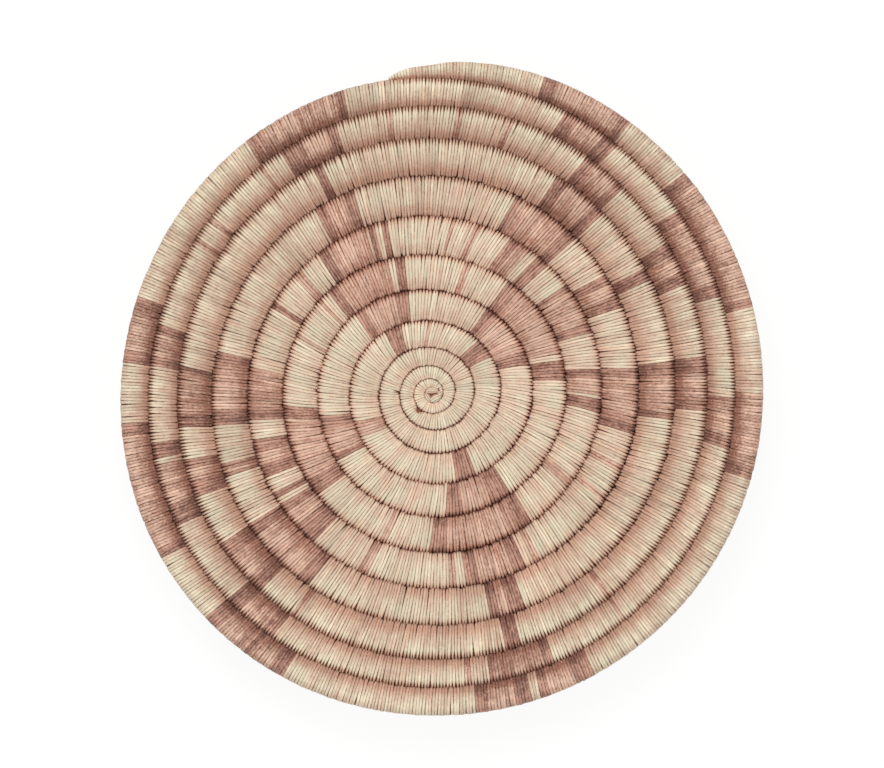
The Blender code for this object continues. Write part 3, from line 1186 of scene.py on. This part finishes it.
@dataclass
class StartKnot:
    """The knot at the centre: a few fat turns of splints over a low dark heart."""

    coil: Coil
    splint: bpy.types.Material
    grass: bpy.types.Material
    lobes: tuple[Lobe, ...] = (
        Lobe(-0.55 * MM, 1.35 * MM, 2.0, 7.4 * MM, 3.5 * MM, 2.2 * MM, -50.0),
        Lobe(-2.75 * MM, -2.35 * MM, -58.0, 6.4 * MM, 3.9 * MM, 2.0 * MM, 35.0),
        Lobe(1.35 * MM, -2.75 * MM, 28.0, 6.6 * MM, 4.3 * MM, 2.1 * MM, -30.0),
        Lobe(3.7 * MM, -0.35 * MM, 40.0, 4.4 * MM, 2.9 * MM, 1.9 * MM, 20.0),
    )
    segments: int = 30
    rings: int = 14
    bluntness: float = 1.15
    pole: float = 0.01
    splints_round: int = 10
    groove: float = 0.10
    splint_ends: tuple[float, float] = (0.08, 0.92)
    darker: float = 0.03
    fade: float = 0.8
    # How far the flanks of its turns go towards the painted shade colour
    painted_shade: float = 0.2
    strands: int = 7
    lift: float = 0.1 * MM
    heart_sides: int = 36
    heart_height: float = 0.8 * MM
    heart_overlap: float = 0.5 * MM
    heart_bevel: float = 0.25 * MM

    def turn_of_splints(self, lobe: Lobe, number: int) -> bpy.types.Object:
        """Model one turn: a spindle of splints that lie side by side, bent a little.

        Args:
            lobe: The turn's place and size.
            number: Its number, from which its tone and fibres follow.

        Returns:
            The turn, in its place.
        """
        bpy.ops.object.select_all(action="DESELECT")
        bpy.ops.mesh.primitive_uv_sphere_add(
            segments=self.segments,
            ring_count=self.rings,
            radius=1.0,
            rotation=(0.0, math.pi / 2.0, 0.0),
        )
        piece = bpy.context.object
        bpy.ops.object.transform_apply(location=False, rotation=True, scale=False)
        self.lay_splints(piece.data)
        for vertex in piece.data.vertices:
            angle = math.atan2(vertex.co.z, vertex.co.y) / math.tau * self.splints_round
            dip = 1.0 - self.groove * (1.0 - abs(2.0 * (angle % 1.0) - 1.0) ** 2)
            blunt = math.copysign(abs(vertex.co.x) ** self.bluntness, vertex.co.x)
            vertex.co.x = blunt * lobe.length / 2.0
            vertex.co.y *= dip * lobe.width / 2.0
            vertex.co.z *= dip * lobe.height / 2.0
        bend = piece.modifiers.new("bent", "SIMPLE_DEFORM")
        bend.deform_method = "BEND"
        bend.deform_axis = "Z"
        bend.angle = math.radians(lobe.bend)
        apply_modifiers(piece)
        values = {
            "tone": 1.0 - self.darker * (number % 2), "fade": self.fade, "painted_shade": self.painted_shade,
            "bare_and_lit": 0.0, "strand": number / self.strands,
        }
        for name, value in values.items():
            add_values(piece.data, name, np.full(len(piece.data.vertices), value))
        piece.rotation_euler = (0.0, 0.0, math.radians(lobe.heading))
        piece.location = (lobe.x, lobe.y, lobe.height / 2.0 + self.lift)
        select_only(piece)
        bpy.ops.object.transform_apply(location=True, rotation=True, scale=False)
        return piece

    def lay_splints(self, mesh: bpy.types.Mesh) -> None:
        """Lay the UV map of a unit spindle: U from end to end, V across each of its splints.

        Args:
            mesh: The spindle, with its ends at X = -1 and X = 1.
        """
        first, last = self.splint_ends
        for face in mesh.polygons:
            middle = math.atan2(face.center.z, face.center.y) / math.tau * self.splints_round
            number = math.floor(middle)
            for corner in face.loop_indices:
                spot = mesh.vertices[mesh.loops[corner].vertex_index].co
                angle = math.atan2(spot.z, spot.y) / math.tau * self.splints_round
                # A pole of the spindle has no angle of its own, so it takes the face's
                if math.hypot(spot.y, spot.z) < self.pole:
                    angle = middle
                angle += self.splints_round * round((middle - angle) / self.splints_round)
                mesh.uv_layers.active.data[corner].uv = (
                    first + (last - first) * (spot.x + 1.0) / 2.0, angle - number
                )

    def turns(self) -> bpy.types.Object:
        """Model all turns of the knot and join them.

        Returns:
            The finished turns, as one piece.
        """
        pieces = [self.turn_of_splints(lobe, number) for number, lobe in enumerate(self.lobes)]
        select_only(*pieces)
        bpy.ops.object.join()
        knot = bpy.context.object
        knot.name = knot.data.name = "start_knot_splints"
        knot.data.materials.clear()
        knot.data.materials.append(self.splint)
        smooth(knot)
        return knot

    def heart(self) -> bpy.types.Object:
        """Model the low heart of grass under the turns, out to the first curl.

        Returns:
            The finished heart.
        """
        bpy.ops.object.select_all(action="DESELECT")
        bpy.ops.mesh.primitive_cylinder_add(
            vertices=self.heart_sides,
            radius=1.0,
            depth=self.heart_height,
            location=(0.0, 0.0, self.heart_height / 2.0 + self.lift),
        )
        heart = bpy.context.object
        heart.name = heart.data.name = "start_knot_heart"
        bpy.ops.object.transform_apply(location=True, rotation=False, scale=False)
        for vertex in heart.data.vertices:
            turn = (math.atan2(vertex.co.y, vertex.co.x) / math.tau - NUDGE) % 1.0
            reach = self.coil.furrow(turn) + self.heart_overlap
            vertex.co.x *= reach
            vertex.co.y *= reach
        bevel = heart.modifiers.new("worn edge", "BEVEL")
        bevel.width = self.heart_bevel
        bevel.segments = 2
        apply_modifiers(heart)
        heart.data.materials.append(self.grass)
        return heart


@dataclass
class Tray:
    """The whole tray: the knot, the bundle, the sewing and the end at the rim."""

    coil: Coil = field(default_factory=Coil)
    curl_starts: float = 0.01
    seam_share: float = 0.25
    coarse_turns: float = 2.0
    coarse_points: int = 12
    fine_points: int = 24

    def seam(self, turn: float) -> float:
        """Find where two runs of the solids meet.

        Args:
            turn: About where they meet.

        Returns:
            The turn of the seam, which keeps clear of the corners of the solids' course.
        """
        count = self.coarse_points if turn < self.coarse_turns else self.fine_points
        step = math.floor(turn * count + NUDGE)
        share = min(max(turn * count - step, self.seam_share), 1.0 - self.seam_share)
        return (step + share) / count

    def runs(self) -> list[tuple[str, float, float, Run]]:
        """List the sewn runs of the solids.

        Returns:
            The node's name, the start, the end and the kind of each run.
        """
        kinds = [
            (self.seam(row + degrees / 360.0), kind)
            for row, starts in SEWN_RUNS.items()
            for degrees, kind in starts
        ]
        ends = [*(start for start, _ in kinds[1:]), self.coil.bundle_ends]
        seen: dict[tuple[int, Run], int] = {}
        found = []
        for (start, kind), end in zip(kinds, ends):
            row = math.floor(start)
            letter = chr(ord("a") + seen.get((row, kind), 0))
            seen[row, kind] = seen.get((row, kind), 0) + 1
            found.append((f"row_{row:02d}_{kind.value}_splints_{letter}", start, end, kind))
        return found

    def finishes(self) -> dict[Splint, bpy.types.Material]:
        """Make the three finishes of the splints.

        Returns:
            The material of each splint.
        """
        # Undyed leaf: cream on top, partly where it has bleached and partly as a painted highlight,
        # and a dusty pink down in the furrows, partly painted warm shade
        natural = SplintFinish(
            "natural yucca splint", worn_and_lit="#EADCC0", kept="#E6BAA2", painted_shade_colour="#C29680",
            edge="#562C20", roughness=0.55, mottle=0.32, contrast=0.26, patches=0.42,
        )
        # Leaf in a faded brown dye: uneven reddish brown, streaked with paler fibres
        brown = SplintFinish(
            "brown dyed yucca splint", worn_and_lit="#E6BFA8", kept="#BC8670", painted_shade_colour="#8E5F50",
            edge="#47231A", roughness=0.6, mottle=0.58, contrast=0.42, patches=0.45,
        )
        # Leaf in a stronger dye: dark brown bars at the ends of each brown patch
        dark = SplintFinish(
            "dark dyed yucca splint", worn_and_lit="#CB9C88", kept="#895C4D", painted_shade_colour="#7C564A",
            edge="#361911", roughness=0.6, mottle=0.72, contrast=0.44, patches=0.55,
        )
        return {
            Splint.NATURAL: natural.material(),
            Splint.BROWN: brown.material(),
            Splint.DARK: dark.material(),
        }

    def mount(self, piece: bpy.types.Object, node: str) -> None:
        """Let a piece stand for a node of the solids.

        Args:
            piece: The finished piece.
            node: The node's name.
        """
        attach(piece, BODY)
        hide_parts(node)
        log.info("%s: %d faces, for %s", piece.name, len(piece.data.polygons), node)

    def build(self) -> None:
        """Make every piece of the tray."""
        coil, finishes = self.coil, self.finishes()
        guide = Guide(coil)
        sewing = Sewing(coil, guide, Stitch(coil), Pattern(), finishes)
        bundle = Bundle(coil, guide, GrassFinish().material())
        knot = StartKnot(coil, finishes[Splint.NATURAL], bundle.finish)
        self.mount(knot.turns(), "start_knot")
        self.mount(knot.heart(), "start_knot")
        for name, start, end, node in (
            ("grass_bundle_stems", coil.sewing_starts, coil.bundle_ends, "grass_bundle"),
            ("start_curl_stems", 0.0, coil.sewing_starts, "start_curl"),
            ("rim_end_stems", coil.bundle_ends, coil.coil_ends, "rim_end_binding"),
        ):
            self.mount(bundle.length(name, start, end), node)
        for node, start, end, kind in self.runs():
            self.mount(sewing.run(f"{node}_stitches", start, end), node)
        curl = sewing.run("start_curl_stitches", self.curl_starts, self.seam(coil.sewing_starts))
        self.mount(curl, "start_curl")
        rim_end = sewing.run("rim_end_stitches", coil.bundle_ends, coil.coil_ends)
        self.mount(rim_end, "rim_end_binding")
        discard(sewing.model)
        discard(guide.line)


@dataclass
class Studio:
    """White floor, soft frontal light and the camera over the middle of the tray."""

    view_width: float = 0.4136
    view_centre: tuple[float, float] = (4.4 * MM, 4.2 * MM)
    view_height: float = 12.0 * MM
    camera_height: float = 6.0
    sensor: float = 36.0
    ambient: float = 0.72
    lamp_place: tuple[float, float, float] = (-0.35, 1.3, 2.6)
    lamp_size: float = 1.2
    lamp_power: float = 26.0
    floor_size: float = 6.0
    floor_height: float = -0.3 * MM
    floor_colour: str = "#F4F3F1"
    floor_roughness: float = 0.9
    floor_white: float = 0.85
    floor_glow: float = 1.05

    def floor(self) -> None:
        """Lay a matte white floor that is seen nearly white and keeps a soft shadow."""
        bpy.ops.object.select_all(action="DESELECT")
        bpy.ops.mesh.primitive_plane_add(
            size=self.floor_size, location=(0.0, 0.0, self.floor_height)
        )
        floor = bpy.context.object
        floor.name = "floor"
        made, tree, shader = new_material("white floor")
        shader.inputs["Base Color"].default_value = linear(self.floor_colour)
        shader.inputs["Roughness"].default_value = self.floor_roughness
        seen = add_node(tree, "LightPath").outputs["Is Camera Ray"]
        white = add_node(tree, "Math", (seen, self.floor_white), operation="MULTIPLY")
        glow = add_node(tree, "Emission", ((1.0, 1.0, 1.0, 1.0), self.floor_glow))
        mix = add_node(tree, "MixShader", (white, shader, glow))
        tree.links.new(mix.outputs[0], tree.nodes["Material Output"].inputs["Surface"])
        floor.data.materials.append(made)

    def world(self) -> None:
        """Put white all round, at full strength where it is seen and less where it lights."""
        world = bpy.data.worlds.new("white studio")
        bpy.context.scene.world = world
        world.use_nodes = True
        tree = world.node_tree
        background = tree.nodes["Background"]
        rays = add_node(tree, "LightPath").outputs
        direct = (rays["Is Camera Ray"], rays["Is Glossy Ray"])
        seen = add_node(tree, "Math", direct, operation="MAXIMUM")
        through = (seen, rays["Is Transmission Ray"])
        shown = add_node(tree, "Math", through, operation="MAXIMUM")
        strength = add_node(tree, "MapRange", (shown, 0.0, 1.0, self.ambient, 1.0))
        background.inputs["Color"].default_value = (1.0, 1.0, 1.0, 1.0)
        tree.links.new(strength.outputs[0], background.inputs["Strength"])

    def lamp(self) -> None:
        """Hang a square soft lamp that points at the middle of the tray."""
        data = bpy.data.lights.new("frontal lamp", "AREA")
        data.shape = "SQUARE"
        data.size = self.lamp_size
        data.energy = self.lamp_power
        lamp = bpy.data.objects.new("frontal lamp", data)
        lamp.location = self.lamp_place
        x, y, z = self.lamp_place
        lamp.rotation_euler = (
            math.atan2(math.hypot(x, y), z), 0.0, math.atan2(y, x) + math.pi / 2.0
        )
        lamp.visible_camera = False
        bpy.context.scene.collection.objects.link(lamp)

    def camera(self) -> None:
        """Set a long lens straight over the tray."""
        data = bpy.data.cameras.new("camera")
        data.sensor_width = self.sensor
        data.lens = self.sensor * (self.camera_height - self.view_height) / self.view_width
        camera = bpy.data.objects.new("camera", data)
        camera.location = (*self.view_centre, self.camera_height)
        bpy.context.scene.collection.objects.link(camera)
        bpy.context.scene.camera = camera

    def build(self) -> None:
        """Set the whole studio up."""
        self.floor()
        self.world()
        self.lamp()
        self.camera()
        bpy.context.scene.view_settings.view_transform = "Standard"


def main() -> None:
    """Load the frame, and build the tray and the studio."""
    logging.basicConfig(level=logging.INFO, format="%(name)s %(message)s")
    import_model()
    Tray().build()
    Studio().build()


if __name__ == "__main__":
    main()
